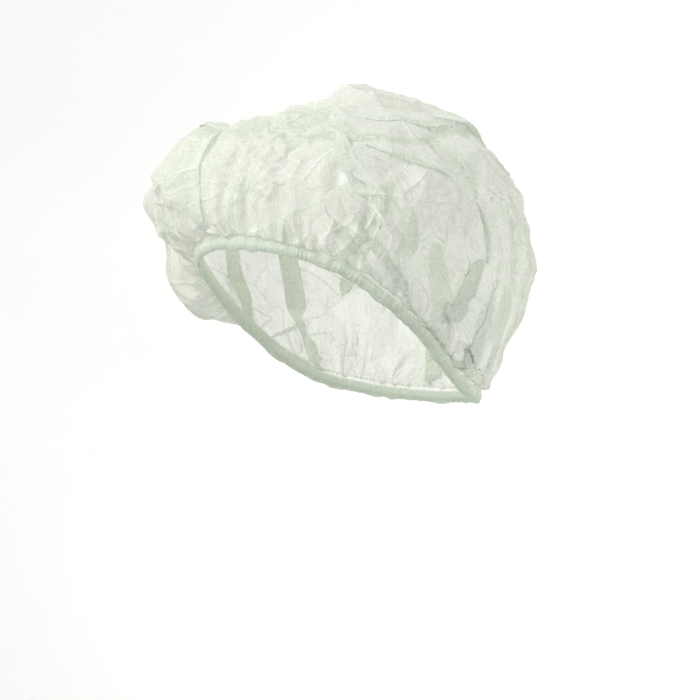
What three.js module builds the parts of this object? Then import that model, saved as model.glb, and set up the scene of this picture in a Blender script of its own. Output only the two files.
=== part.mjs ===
// A disposable bouffant cap: a round of thin non-woven cloth whose edge is turned over a ring
// of elastic and gathered. It has the shape that it takes on an adult head, and it is hollow.
// Lengths are in millimetres. +Z is up and the wearer looks along -Y, so +X is the wearer's left.
// The origin is the centre of the head opening, halfway between its highest and lowest place.
// An azimuth runs from the forehead, at 0 degrees, towards the wearer's left.

import * as THREE from "three";

// Head opening
const OPENING_LENGTH = 190; // forehead to the back of the head
const OPENING_WIDTH = 152;
const RIM_DROP = 88; // the rim is this much lower at the nape than at the forehead

// Crown
const CROWN_RISE = 87; // the top stands this far above the rim at the forehead
const PUFF = 36; // how far the cloth stands out past the opening where it stands out most
const SWELL = 14; // height of the largest local bulge, and depth of the deepest dent
const FOLD_DEPTH = 5;
const FOLD_WIDTH = 13; // from a fold's crest to its foot
const CLOTH_WALL = 1;

// Gathers, where the cloth is drawn in by the elastic
const GATHER_COUNT = 30;
const GATHER_DEPTH = 4.2;
const GATHER_REACH = 0.34; // share of the way from the rim to the top at which they have died out

// Hem and elastic
const HEM_HEIGHT = 8;
const HEM_TURN = 6.6; // height of the raw edge that is turned to the inside
const RUFFLE_DEPTH = 1.4; // how far the gathers stand out of the hem
const SCALLOP_DEPTH = 1.2; // how far its lower edge waves up and down
const HEM_ROUNDING = 0.8; // at the hem's lower outside corners
const ELASTIC_DIAMETER = 2.2;
const CLEARANCE = 0.3; // between pieces that touch

// Fineness
const GATHER_COLUMNS = 4; // columns of faces for one gather
const CROWN_ROWS = 17; // rows of faces from the hem to the top
const ELASTIC_SIDES = 6;
const ELASTIC_STEPS = 60;
const LOWER_SHARE = 0.4; // share of the way to the top that lies below the widest place
const LOWER_TAPER = 1.6; // at 1 that stretch is a full quarter of an ellipse, above 1 it is slacker
const FOLD_STEPS = 10;

// The cap's form in sections round the opening, each with its azimuth. reach is the rim's
// radius as a share of the opening's oval, drop a share of RIM_DROP and puff a share of PUFF.
// waist is the height of the widest place, as a share of the rise from the rim to the top.
const SECTIONS = [
  { azimuth: 0, reach: 0.98, drop: 0, puff: 0.1, waist: 0.3 },
  { azimuth: 30, reach: 0.98, drop: 0.125, puff: 0.14, waist: 0.32 },
  { azimuth: 60, reach: 0.98, drop: 0.46, puff: 0.25, waist: 0.36 },
  { azimuth: 90, reach: 0.97, drop: 0.85, puff: 0.34, waist: 0.42 },
  { azimuth: 120, reach: 0.88, drop: 0.955, puff: 0.3, waist: 0.45 },
  { azimuth: 150, reach: 0.82, drop: 0.98, puff: 0.38, waist: 0.46 },
  { azimuth: 180, reach: 0.82, drop: 1, puff: 0.7, waist: 0.46 },
  { azimuth: 210, reach: 0.84, drop: 0.96, puff: 0.82, waist: 0.45 },
  { azimuth: 240, reach: 0.92, drop: 0.84, puff: 0.88, waist: 0.45 },
  { azimuth: 270, reach: 1, drop: 0.56, puff: 0.98, waist: 0.45 },
  { azimuth: 300, reach: 1.05, drop: 0.22, puff: 0.98, waist: 0.4 },
  { azimuth: 330, reach: 1.02, drop: 0.04, puff: 0.56, waist: 0.36 },
];

// Bulges and dents. up is the share of the way from the rim to the top, spread is a share of
// OPENING_WIDTH and out a share of SWELL, less than 0 for a dent.
const SWELLS = [
  { azimuth: 312, up: 0.82, spread: 0.2, out: -0.9 },
  { azimuth: 350, up: 0.9, spread: 0.2, out: -0.35 },
  { azimuth: 304, up: 0.56, spread: 0.08, out: -0.4 },
  { azimuth: 302, up: 0.42, spread: 0.08, out: 0.45 },
  { azimuth: 300, up: 0.24, spread: 0.08, out: -0.6 },
  { azimuth: 286, up: 0.12, spread: 0.17, out: 1 },
  { azimuth: 20, up: 0.74, spread: 0.2, out: -0.2 },
  { azimuth: 112, up: 0.66, spread: 0.16, out: 0.15 },
  { azimuth: 190, up: 0.62, spread: 0.2, out: -0.45 },
  { azimuth: 225, up: 0.45, spread: 0.2, out: 0.4 },
];

// Main folds, each a ridge from one place to another. depth and width are shares of
// FOLD_DEPTH and FOLD_WIDTH.
const FOLDS = [
  { azimuth: 28, up: 0.72, toAzimuth: 44, toUp: 0.45, depth: 1, width: 0.8 },
  { azimuth: 44, up: 0.45, toAzimuth: 56, toUp: 0.1, depth: 0.6, width: 0.6 },
  { azimuth: 60, up: 0.52, toAzimuth: 56, toUp: 0.08, depth: 0.9, width: 0.8 },
  { azimuth: 67, up: 0.08, toAzimuth: 92, toUp: 0.5, depth: 1, width: 1 },
  { azimuth: 80, up: 0.08, toAzimuth: 110, toUp: 0.4, depth: 0.7, width: 0.8 },
  { azimuth: 104, up: 0.76, toAzimuth: 94, toUp: 0.5, depth: 0.8, width: 1 },
  { azimuth: 32, up: 0.72, toAzimuth: 66, toUp: 0.6, depth: 0.7, width: 0.7 },
  { azimuth: 336, up: 0.68, toAzimuth: 340, toUp: 0.14, depth: 1, width: 0.9 },
  { azimuth: 12, up: 0.4, toAzimuth: 8, toUp: 0.06, depth: 0.5, width: 0.6 },
  { azimuth: 346, up: 0.52, toAzimuth: 322, toUp: 0.42, depth: 0.7, width: 0.8 },
  { azimuth: 290, up: 0.68, toAzimuth: 296, toUp: 0.44, depth: 0.8, width: 1 },
  { azimuth: 322, up: 0.42, toAzimuth: 318, toUp: 0.1, depth: 0.7, width: 0.8 },
  { azimuth: 272, up: 0.6, toAzimuth: 284, toUp: 0.12, depth: 0.8, width: 0.9 },
  { azimuth: 238, up: 0.72, toAzimuth: 250, toUp: 0.2, depth: 0.9, width: 1 },
  { azimuth: 200, up: 0.66, toAzimuth: 222, toUp: 0.14, depth: 0.8, width: 1 },
  { azimuth: 172, up: 0.7, toAzimuth: 184, toUp: 0.12, depth: 0.9, width: 0.9 },
  { azimuth: 146, up: 0.62, toAzimuth: 138, toUp: 0.1, depth: 0.9, width: 0.9 },
];

const COLUMNS = GATHER_COUNT * GATHER_COLUMNS;
const FOREHEAD_HEIGHT = RIM_DROP / 2;
const TOP_HEIGHT = FOREHEAD_HEIGHT + CROWN_RISE;
const UP = new THREE.Vector3(0, 0, 1);

// A smooth value round the table of sections, by a Catmull-Rom spline that joins its own start.
function sectionValue(name, azimuth) {
  const turn = THREE.MathUtils.euclideanModulo(azimuth, 2 * Math.PI) / (2 * Math.PI);
  const place = turn * SECTIONS.length;
  const first = Math.floor(place);
  const [a, b, c, d] = [-1, 0, 1, 2].map(
    (step) => SECTIONS[(first + step + SECTIONS.length) % SECTIONS.length][name],
  );
  const f = place - first;
  return b + (f / 2) * (c - a + f * (2 * a - 5 * b + 4 * c - d + f * (3 * (b - c) + d - a)));
}

function outward(azimuth) {
  return new THREE.Vector3(Math.sin(azimuth), -Math.cos(azimuth), 0);
}

// The oval's radius towards an azimuth.
function ovalRadius(azimuth) {
  const across = (OPENING_LENGTH / 2) * Math.sin(azimuth);
  const along = (OPENING_WIDTH / 2) * Math.cos(azimuth);
  return (OPENING_LENGTH * OPENING_WIDTH) / 4 / Math.hypot(across, along);
}

// The smooth form of the cap, from the rim at up = 0 to the top at up = 1.
function formPoint(azimuth, up) {
  const rimHeight = FOREHEAD_HEIGHT - RIM_DROP * sectionValue("drop", azimuth);
  const rimRadius = ovalRadius(azimuth) * sectionValue("reach", azimuth);
  const widest = ovalRadius(azimuth) + PUFF * sectionValue("puff", azimuth);
  const waistHeight = rimHeight + (TOP_HEIGHT - rimHeight) * sectionValue("waist", azimuth);
  const below = up < LOWER_SHARE;
  const turn = below ? up / LOWER_SHARE - 1 : (up - LOWER_SHARE) / (1 - LOWER_SHARE);
  const angle = (turn * Math.PI) / 2;
  const innerRadius = below ? rimRadius : 0;
  const rise = below ? waistHeight - rimHeight : TOP_HEIGHT - waistHeight;
  const fullness = Math.max(0, Math.cos(angle)) ** (below ? LOWER_TAPER : 1);
  const radius = innerRadius + (widest - innerRadius) * fullness;
  const height = waistHeight + rise * Math.sin(angle);
  return outward(azimuth).multiplyScalar(radius).setZ(height);
}

// The directions out of the hem and up it, square to the rim.
function rimFrame(azimuth) {
  const step = 0.01;
  const along = formPoint(azimuth + step, 0).sub(formPoint(azimuth - step, 0)).normalize();
  const out = outward(azimuth);
  out.addScaledVector(along, -out.dot(along)).normalize();
  return { out, up: out.clone().cross(along) };
}

// The form again, lifted so that its lower edge seats on the hem.
function seatedPoint(azimuth, up) {
  const lift = (HEM_HEIGHT + CLEARANCE) * (1 - up) ** 3;
  return formPoint(azimuth, up).addScaledVector(rimFrame(azimuth).up, lift);
}

function radians(row, name) {
  return THREE.MathUtils.degToRad(row[name]);
}

// One gather is a wave; it fades in above the hem and dies out further up.
function gatherWave(azimuth) {
  return (1 + Math.cos(GATHER_COUNT * azimuth)) / 2;
}

function gatherHeight(azimuth, up) {
  const fadeIn = THREE.MathUtils.smoothstep(up, 0, GATHER_REACH / 4);
  const fadeOut = 1 - THREE.MathUtils.smoothstep(up, GATHER_REACH / 4, GATHER_REACH);
  const depth = THREE.MathUtils.lerp(RUFFLE_DEPTH, GATHER_DEPTH, fadeIn) * fadeOut;
  return depth * gatherWave(azimuth);
}

const swellCentres = SWELLS.map((row) => seatedPoint(radians(row, "azimuth"), row.up));

function swellHeight(point) {
  return SWELLS.reduce((sum, row, i) => {
    const away = point.distanceTo(swellCentres[i]) / (row.spread * OPENING_WIDTH);
    return sum + row.out * SWELL * Math.exp(-away * away);
  }, 0);
}

const foldPaths = FOLDS.map((row) =>
  Array.from({ length: FOLD_STEPS + 1 }, (_, i) => {
    const share = i / FOLD_STEPS;
    const azimuthFrom = radians(row, "azimuth");
    const azimuth = THREE.MathUtils.lerp(azimuthFrom, radians(row, "toAzimuth"), share);
    return seatedPoint(azimuth, THREE.MathUtils.lerp(row.up, row.toUp, share));
  }),
);

// How high the main folds stand at a point of the form: the highest of those that pass it.
function foldHeight(point) {
  const piece = new THREE.Line3();
  const nearest = new THREE.Vector3();
  let highest = 0;
  FOLDS.forEach((row, i) => {
    const path = foldPaths[i];
    let away = Infinity;
    let share = 0;
    for (let k = 0; k < FOLD_STEPS; k++) {
      piece.set(path[k], path[k + 1]);
      const along = piece.closestPointToPointParameter(point, true);
      const distance = piece.at(along, nearest).distanceTo(point);
      if (distance < away) {
        away = distance;
        share = (k + along) / FOLD_STEPS;
      }
    }
    const side = Math.max(0, 1 - away / (row.width * FOLD_WIDTH));
    const ends = Math.sqrt(Math.sin(Math.PI * THREE.MathUtils.clamp(share, 0, 1)));
    const crest = side * side * (3 - 2 * side);
    highest = Math.max(highest, row.depth * FOLD_DEPTH * crest * ends);
  });
  return highest;
}

// The outside of the crown. Near the hem only the gathers are left, so that it seats there.
function crownPoint(azimuth, up) {
  const step = 0.01;
  const point = seatedPoint(azimuth, up);
  const below = seatedPoint(azimuth, Math.max(0, up - step));
  const above = seatedPoint(azimuth, Math.min(1, up + step));
  const along = seatedPoint(azimuth + step, up).sub(seatedPoint(azimuth - step, up));
  const atTop = up > 1 - step;
  const normal = atTop ? UP.clone() : along.cross(above.sub(below)).normalize();
  const free = THREE.MathUtils.smoothstep(up, 0, GATHER_REACH / 4);
  const out = normal.lerp(rimFrame(azimuth).out, 1 - free).normalize();
  const height = gatherHeight(azimuth, up) + free * (swellHeight(point) + foldHeight(point));
  return point.addScaledVector(out, height);
}

// Joins rings of points, each one closed, into the faces of a solid. A ring of one point is
// a pole. With joinsItself, the last ring is joined to the first.
function solidThrough(rings, joinsItself) {
  const starts = [];
  const positions = [];
  const faces = [];
  for (const ring of rings) {
    starts.push(positions.length / 3);
    for (const point of ring) positions.push(...point.toArray());
  }
  const pairs = joinsItself ? rings.length : rings.length - 1;
  for (let r = 0; r < pairs; r++) {
    const s = (r + 1) % rings.length;
    const count = Math.max(rings[r].length, rings[s].length);
    for (let i = 0; i < count; i++) {
      const corner = (ring, step) => starts[ring] + ((i + step) % rings[ring].length);
      if (rings[r].length > 1) faces.push(corner(r, 0), corner(s, 0), corner(r, 1));
      if (rings[s].length > 1) faces.push(corner(r, 1), corner(s, 0), corner(s, 1));
    }
  }
  const geometry = new THREE.BufferGeometry();
  geometry.setAttribute("position", new THREE.Float32BufferAttribute(positions, 3));
  geometry.setIndex(faces);
  geometry.computeVertexNormals();
  return geometry;
}

function azimuths(count) {
  return Array.from({ length: count }, (_, i) => (2 * Math.PI * i) / count);
}

// The crown is a wall: rings down its outside, then rings up its inside.
function crownGeometry() {
  const rows = Array.from({ length: CROWN_ROWS }, (_, row) => row / CROWN_ROWS);
  const outside = rows.map((up) => azimuths(COLUMNS).map((azimuth) => crownPoint(azimuth, up)));
  const inside = outside.map((ring, row) => {
    const upper = outside[Math.min(row + 1, CROWN_ROWS - 1)];
    const lower = outside[Math.max(row - 1, 0)];
    return ring.map((point, i) => {
      const next = ring[(i + 1) % COLUMNS];
      const last = ring[(i + COLUMNS - 1) % COLUMNS];
      const normal = next.clone().sub(last).cross(upper[i].clone().sub(lower[i])).normalize();
      return point.clone().addScaledVector(normal, -CLOTH_WALL);
    });
  });
  const top = crownPoint(0, 1);
  const innerTop = top.clone().addScaledVector(UP, -CLOTH_WALL);
  return solidThrough([[top], ...outside.toReversed(), ...inside, [innerTop]], false);
}

// The turned hem in section. out and up are measured from the foot of its outside, and
// ruffle and scallop are the shares of those waves that a corner follows.
function hemSection() {
  const thickness = 2 * CLOTH_WALL + 2 * CLEARANCE + ELASTIC_DIAMETER;
  const innerLeg = CLOTH_WALL - thickness;
  const rounding = HEM_ROUNDING;
  return [
    { out: 0, up: HEM_HEIGHT, ruffle: 1, scallop: 0 },
    { out: 0, up: rounding, ruffle: 1, scallop: 1 },
    { out: -rounding, up: 0, ruffle: 1, scallop: 1 },
    { out: rounding - thickness, up: 0, ruffle: 0, scallop: 0 },
    { out: -thickness, up: rounding, ruffle: 0, scallop: 0 },
    { out: -thickness, up: HEM_TURN, ruffle: 0, scallop: 0 },
    { out: innerLeg, up: HEM_TURN, ruffle: 0, scallop: 0 },
    { out: innerLeg, up: CLOTH_WALL, ruffle: 0, scallop: 0 },
    { out: -CLOTH_WALL, up: CLOTH_WALL, ruffle: 0, scallop: 0 },
    { out: -CLOTH_WALL, up: HEM_HEIGHT, ruffle: 0, scallop: 0 },
  ];
}

// The lower edge dips where a gather stands out, by turns more and less.
function scallopHeight(azimuth) {
  const uneven = (1 + Math.cos((GATHER_COUNT * azimuth) / 3)) / 2;
  return -SCALLOP_DEPTH * gatherWave(azimuth) * uneven;
}

function hemGeometry() {
  const rings = hemSection().map((corner) =>
    azimuths(COLUMNS).map((azimuth) => {
      const frame = rimFrame(azimuth);
      const out = corner.out + corner.ruffle * RUFFLE_DEPTH * gatherWave(azimuth);
      const up = corner.up + corner.scallop * scallopHeight(azimuth);
      const point = formPoint(azimuth, 0).addScaledVector(frame.out, out);
      return point.addScaledVector(frame.up, up);
    }),
  );
  return solidThrough(rings, true);
}

// The elastic lies at the bottom of the turned hem, clear of it all round.
function elasticGeometry() {
  const radius = ELASTIC_DIAMETER / 2;
  const seat = CLOTH_WALL + CLEARANCE + radius;
  const rings = azimuths(ELASTIC_SIDES).map((side) =>
    azimuths(ELASTIC_STEPS).map((azimuth) => {
      const frame = rimFrame(azimuth);
      const point = formPoint(azimuth, 0);
      point.addScaledVector(frame.out, -seat - radius * Math.cos(side));
      return point.addScaledVector(frame.up, seat + radius * Math.sin(side));
    }),
  );
  return solidThrough(rings, true);
}

const cloth = new THREE.MeshStandardMaterial({
  name: "cloth",
  color: new THREE.Color(0.8, 0.88, 0.8),
  roughness: 0.75,
  metalness: 0,
  side: THREE.DoubleSide,
});
const hemCloth = cloth.clone();
hemCloth.name = "hem_cloth";
hemCloth.color.setRGB(0.74, 0.85, 0.76);
const rubber = new THREE.MeshStandardMaterial({
  name: "elastic_cord",
  color: new THREE.Color(0.86, 0.88, 0.82),
  roughness: 0.6,
  metalness: 0,
});

const cap = new THREE.Group();
cap.name = "bouffant_cap";
for (const [name, geometry, material] of [
  ["crown", crownGeometry(), cloth],
  ["hem", hemGeometry(), hemCloth],
  ["elastic", elasticGeometry(), rubber],
]) {
  const mesh = new THREE.Mesh(geometry, material);
  mesh.name = name;
  cap.add(mesh);
}

export default cap;
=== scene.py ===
# %% [markdown]
# # A disposable bouffant cap
#
# The real cap is one round of spun-bond cloth, thin enough to see through. Its edge is turned
# over a ring of elastic, which draws it in, so that all the spare cloth stands in gathers and
# laps over itself in pleats. This lesson builds the crown as a sheet of cloth that crumples in
# a simulation, and then the ruffled hem and the elastic inside it.
#
# Blender works in metres here, in the same frame as the solids: +Z is up, the wearer looks
# along -Y, and an azimuth runs from the forehead towards the wearer's left.

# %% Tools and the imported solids
import math

import bpy
import numpy as np
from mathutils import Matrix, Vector
from mathutils.kdtree import KDTree


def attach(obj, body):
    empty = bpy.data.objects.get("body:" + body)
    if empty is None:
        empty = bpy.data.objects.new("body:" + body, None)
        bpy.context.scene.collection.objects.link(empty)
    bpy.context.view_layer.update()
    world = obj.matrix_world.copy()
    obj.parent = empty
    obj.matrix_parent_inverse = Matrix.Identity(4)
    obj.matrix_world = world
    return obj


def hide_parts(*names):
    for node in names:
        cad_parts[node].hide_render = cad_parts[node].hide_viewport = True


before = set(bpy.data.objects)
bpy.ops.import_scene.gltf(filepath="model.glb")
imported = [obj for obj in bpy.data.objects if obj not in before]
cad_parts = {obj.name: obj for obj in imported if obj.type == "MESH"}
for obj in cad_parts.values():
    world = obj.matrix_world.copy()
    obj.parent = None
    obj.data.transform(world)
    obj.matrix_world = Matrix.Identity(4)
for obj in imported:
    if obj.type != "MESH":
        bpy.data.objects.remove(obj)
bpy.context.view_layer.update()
print("nodes:", sorted(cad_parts))

# %% [markdown]
# ## The cap's form
#
# Every piece follows one form, so that form comes first, as functions of an azimuth and of how
# far up a point lies. The cap could be sculpted freely, but then the cloth, the hem and the
# elastic would each need fitting to the solids. The sizes below are the ones that the solids
# were made with.

# %% Sizes of the opening and the crown
OPENING_LENGTH = 0.190
OPENING_WIDTH = 0.152
RIM_DROP = 0.088
CROWN_RISE = 0.087
PUFF = 0.036
SWELL = 0.014
HEM_HEIGHT = 0.008
CLEARANCE = 0.0003
LOWER_SHARE = 0.4
LOWER_TAPER = 1.6
FOREHEAD_HEIGHT = RIM_DROP / 2
TOP_HEIGHT = FOREHEAD_HEIGHT + CROWN_RISE

# Sections every 30 degrees from the forehead: the rim's reach, its drop, the cloth's puff, and
# the height of the widest place, all as shares of the sizes above.
SECTIONS = {
    "reach": (0.98, 0.98, 0.98, 0.97, 0.88, 0.82, 0.82, 0.84, 0.92, 1.0, 1.05, 1.02),
    "drop": (0.0, 0.125, 0.46, 0.85, 0.955, 0.98, 1.0, 0.96, 0.84, 0.56, 0.22, 0.04),
    "puff": (0.1, 0.14, 0.25, 0.34, 0.3, 0.38, 0.7, 0.82, 0.88, 0.98, 0.98, 0.56),
    "waist": (0.3, 0.32, 0.36, 0.42, 0.45, 0.46, 0.46, 0.45, 0.45, 0.45, 0.4, 0.36),
}

# Bulges and dents: azimuth, share of the way up, spread as a share of the opening's width, and
# height as a share of SWELL.
SWELLS = (
    (312, 0.82, 0.2, -0.9),
    (350, 0.9, 0.2, -0.35),
    (304, 0.56, 0.08, -0.4),
    (302, 0.42, 0.08, 0.45),
    (300, 0.24, 0.08, -0.6),
    (286, 0.12, 0.17, 1.0),
    (20, 0.74, 0.2, -0.2),
    (112, 0.66, 0.16, 0.15),
    (190, 0.62, 0.2, -0.45),
    (225, 0.45, 0.2, 0.4),
)

# %% The form as functions


def unit(vectors):
    return vectors / np.maximum(np.linalg.norm(vectors, axis=-1, keepdims=True), 1e-12)


def smooth(low, high, value):
    share = np.clip((value - low) / (high - low), 0, 1)
    return share * share * (3 - 2 * share)


def section(name, azimuth):
    """A Catmull-Rom curve through the sections that joins its own start."""
    table = np.array(SECTIONS[name])
    place = np.mod(azimuth, 2 * np.pi) / (2 * np.pi) * len(table)
    first = np.floor(place).astype(int)
    a, b, c, d = (table[(first + step) % len(table)] for step in (-1, 0, 1, 2))
    f = place - first
    bend = 2 * a - 5 * b + 4 * c - d + f * (3 * (b - c) + d - a)
    return b + f / 2 * (c - a + f * bend)


def outward(azimuth):
    return np.stack([np.sin(azimuth), -np.cos(azimuth), 0 * azimuth], -1)


def oval_radius(azimuth):
    across = OPENING_LENGTH / 2 * np.sin(azimuth)
    along = OPENING_WIDTH / 2 * np.cos(azimuth)
    return OPENING_LENGTH * OPENING_WIDTH / 4 / np.hypot(across, along)


def form(azimuth, up):
    """The smooth cap: up runs from 0 at the rim to 1 at the top."""
    rim_height = FOREHEAD_HEIGHT - RIM_DROP * section("drop", azimuth)
    rim_radius = oval_radius(azimuth) * section("reach", azimuth)
    widest = oval_radius(azimuth) + PUFF * section("puff", azimuth)
    waist = rim_height + (TOP_HEIGHT - rim_height) * section("waist", azimuth)
    below = up < LOWER_SHARE
    turn = np.where(below, up / LOWER_SHARE - 1, (up - LOWER_SHARE) / (1 - LOWER_SHARE))
    angle = turn * np.pi / 2
    inner = np.where(below, rim_radius, 0)
    rise = np.where(below, waist - rim_height, TOP_HEIGHT - waist)
    fullness = np.maximum(0, np.cos(angle)) ** np.where(below, LOWER_TAPER, 1)
    points = outward(azimuth) * (inner + (widest - inner) * fullness)[..., None]
    points[..., 2] = waist + rise * np.sin(angle)
    return points


def rim_frame(azimuth):
    """The directions out of the hem and up it, square to the rim."""
    rim = np.zeros_like(azimuth)
    along = unit(form(azimuth + 0.01, rim) - form(azimuth - 0.01, rim))
    out = outward(azimuth)
    out = unit(out - along * (out * along).sum(-1, keepdims=True))
    return out, np.cross(out, along)


def seated(azimuth, up):
    """The form, lifted so that its lower edge sits on the hem."""
    lift = (HEM_HEIGHT + CLEARANCE) * (1 - up) ** 3
    return form(azimuth, up) + rim_frame(azimuth)[1] * lift[..., None]


def swollen(azimuth, up):
    """The seated form with its bulges and dents, and which way it faces."""
    points = seated(azimuth, up)
    step = 0.01
    along = seated(azimuth + step, up) - seated(azimuth - step, up)
    rise = seated(azimuth, np.minimum(1, up + step)) - seated(azimuth, np.maximum(0, up - step))
    facing = unit(np.cross(along, rise))
    facing[up > 1 - step] = (0, 0, 1)
    height = np.zeros(len(points))
    for degrees, share, spread, out in SWELLS:
        centre = seated(np.array([math.radians(degrees)]), np.array([share]))[0]
        away = np.linalg.norm(points - centre, axis=1) / (spread * OPENING_WIDTH)
        height += out * SWELL * np.exp(-(away**2))
    height *= smooth(0, 0.085, up)
    return points + facing * height[:, None], facing


# %% How long the cloth is from the rim to the top
AZIMUTH_STEPS = np.radians(np.arange(0, 360, 3.0))
UP_STEPS = np.linspace(0, 1, 101)


def climbed_lengths():
    """Row by row of azimuths, the length of cloth below each step of up."""
    azimuths, ups = np.meshgrid(AZIMUTH_STEPS, UP_STEPS, indexing="ij")
    points = swollen(azimuths.ravel(), ups.ravel())[0].reshape(*azimuths.shape, 3)
    climbs = np.linalg.norm(np.diff(points, axis=1), axis=2)
    return np.concatenate([np.zeros((len(AZIMUTH_STEPS), 1)), climbs.cumsum(1)], 1)


LENGTHS = climbed_lengths()
shortest, longest = LENGTHS[:, -1].min(), LENGTHS[:, -1].max()
print("cloth from rim to top, metres:", shortest.round(3), longest.round(3))


def cloth_length(azimuth):
    turns = np.append(AZIMUTH_STEPS, 2 * np.pi)
    whole = np.append(LENGTHS[:, -1], LENGTHS[0, -1])
    return np.interp(np.mod(azimuth, 2 * np.pi), turns, whole)


def up_at(azimuth, share):
    """The up at which a share of the cloth's length has been climbed."""
    place = np.mod(azimuth, 2 * np.pi) / (2 * np.pi) * len(LENGTHS)
    first = np.floor(place).astype(int) % len(LENGTHS)
    result = np.empty_like(share)
    for row in range(len(LENGTHS)):
        here = first == row
        ends = []
        for lengths in (LENGTHS[row], LENGTHS[(row + 1) % len(LENGTHS)]):
            ends.append(np.interp(share[here] * lengths[-1], lengths, UP_STEPS))
        result[here] = ends[0] + (ends[1] - ends[0]) * (place[here] - row)
    return result


# %% [markdown]
# ## The camera and the studio
#
# The camera comes before the pieces, so that every later step can be looked at from it. It
# stands 38 degrees round towards the wearer's left and a little above the rim, with a long
# lens. The floor is a wide shallow bowl, so that no edge of it shows from any side.

# %% Camera
CAMERA_AZIMUTH = math.radians(38)
CAMERA_ELEVATION = math.radians(2)
CAMERA_DISTANCE = 2.2
VIEW_WIDTH = 0.389
VIEW_CENTRE_ABOVE_RIM = -0.056
VIEW_CENTRE_RIGHT = -0.0017

scene = bpy.context.scene
scene.view_settings.view_transform = "Standard"
toward_camera = Vector(
    (
        math.sin(CAMERA_AZIMUTH) * math.cos(CAMERA_ELEVATION),
        -math.cos(CAMERA_AZIMUTH) * math.cos(CAMERA_ELEVATION),
        math.sin(CAMERA_ELEVATION),
    )
)
right = Vector((math.cos(CAMERA_AZIMUTH), math.sin(CAMERA_AZIMUTH), 0))
aim = right * VIEW_CENTRE_RIGHT + Vector((0, 0, FOREHEAD_HEIGHT + VIEW_CENTRE_ABOVE_RIM))
bpy.ops.object.select_all(action="DESELECT")
bpy.ops.object.camera_add(location=aim + toward_camera * CAMERA_DISTANCE)
camera = bpy.context.object
camera.name = "camera"
camera.rotation_euler = (-toward_camera).to_track_quat("-Z", "Y").to_euler()
camera.data.sensor_width = 36
camera.data.lens = 36 * CAMERA_DISTANCE / VIEW_WIDTH
scene.camera = camera
print("lens, mm:", round(camera.data.lens))

# %% Floor
FLOOR_DROP = 0.9
FLOOR_RADIUS = 3.6
BOWL_STEPS = 24


def bowl_point(step, turn):
    """A flat middle, then a quarter turn up to a wall."""
    share = step / BOWL_STEPS
    bend = max(0.0, share - 0.5) * 2 * math.pi / 2
    radius = FLOOR_RADIUS * (min(share, 0.5) + 0.5 * math.sin(bend))
    height = FLOOR_RADIUS * 0.5 * (1 - math.cos(bend)) * 1.6
    return (radius * math.cos(turn), radius * math.sin(turn), height - FLOOR_DROP)


def ring_faces(rings, columns):
    faces = []
    for ring in range(rings - 1):
        for column in range(columns):
            following = (column + 1) % columns
            a, b = ring * columns, (ring + 1) * columns
            faces.append((a + column, a + following, b + following, b + column))
    return faces


def new_object(name, points, faces):
    mesh = bpy.data.meshes.new(name)
    mesh.from_pydata([tuple(map(float, point)) for point in points], [], faces)
    mesh.polygons.foreach_set("use_smooth", [True] * len(mesh.polygons))
    mesh.update()
    thing = bpy.data.objects.new(name, mesh)
    scene.collection.objects.link(thing)
    return thing


FLOOR_SIDES = 64
floor_points = [
    bowl_point(step, 2 * math.pi * side / FLOOR_SIDES)
    for step in range(1, BOWL_STEPS + 1)
    for side in range(FLOOR_SIDES)
]
floor_faces = [face[::-1] for face in ring_faces(BOWL_STEPS, FLOOR_SIDES)]
floor_faces.append(tuple(range(FLOOR_SIDES)))
floor = new_object("floor", floor_points, floor_faces)

# %% [markdown]
# ## The crown as a flat round of cloth
#
# A cloth behaves best when its faces are all about the same size, so the round is built as
# rings with more points in each ring further out. A grid that is pinched to a pole would have
# needle-like faces at the top, which crumple first.

# %% Rings of the round
RINGS = 72
COLUMNS_PER_RING = 6
CLOTH_DIAMETER = 0.43


def ring_angles(ring):
    count = COLUMNS_PER_RING * ring
    return (np.arange(count) + 0.5 * (ring % 2)) * 2 * np.pi / count


def round_of_cloth():
    """Each point's ring share and azimuth, and the triangles between rings."""
    shares, angles, starts, faces = [0.0], [0.0], [0], []
    for ring in range(1, RINGS + 1):
        starts.append(len(shares))
        shares.extend([ring / RINGS] * COLUMNS_PER_RING * ring)
        angles.extend(ring_angles(ring))
    for column in range(COLUMNS_PER_RING):
        faces.append((0, 1 + column, 1 + (column + 1) % COLUMNS_PER_RING))
    for ring in range(1, RINGS):
        faces.extend(faces_between(ring, starts))
    return np.array(shares), np.array(angles), faces


def faces_between(ring, starts):
    """Walks round two rings together, always stepping along the one that lags behind."""
    inner, outer = ring_angles(ring), ring_angles(ring + 1)
    i = j = 0
    faces = []
    while i < len(inner) or j < len(outer):
        a = starts[ring] + i % len(inner)
        b = starts[ring + 1] + j % len(outer)
        next_inner = inner[(i + 1) % len(inner)] + 2 * np.pi * ((i + 1) // len(inner))
        next_outer = outer[(j + 1) % len(outer)] + 2 * np.pi * ((j + 1) // len(outer))
        if j >= len(outer) or (i < len(inner) and next_inner < next_outer):
            i += 1
            faces.append((a, b, starts[ring] + i % len(inner)))
        else:
            j += 1
            faces.append((a, b, starts[ring + 1] + j % len(outer)))
    return faces


ring_share, ring_azimuth, cloth_faces = round_of_cloth()
print("round of cloth:", len(ring_share), "points,", len(cloth_faces), "triangles")

# %% [markdown]
# ## The gathers
#
# The elastic draws in more than twice its own length of cloth. Along the hem the cloth stands
# in small uneven waves. Going up, pairs of waves merge into one and then die out, some soon and
# some far up the crown. The waves could be left to the simulation, but it makes them all alike.

# %% Gathers
GATHERS = 76
GATHER_DEPTH = 0.0016
LONG_GATHER_DEPTH = 0.0012


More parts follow.
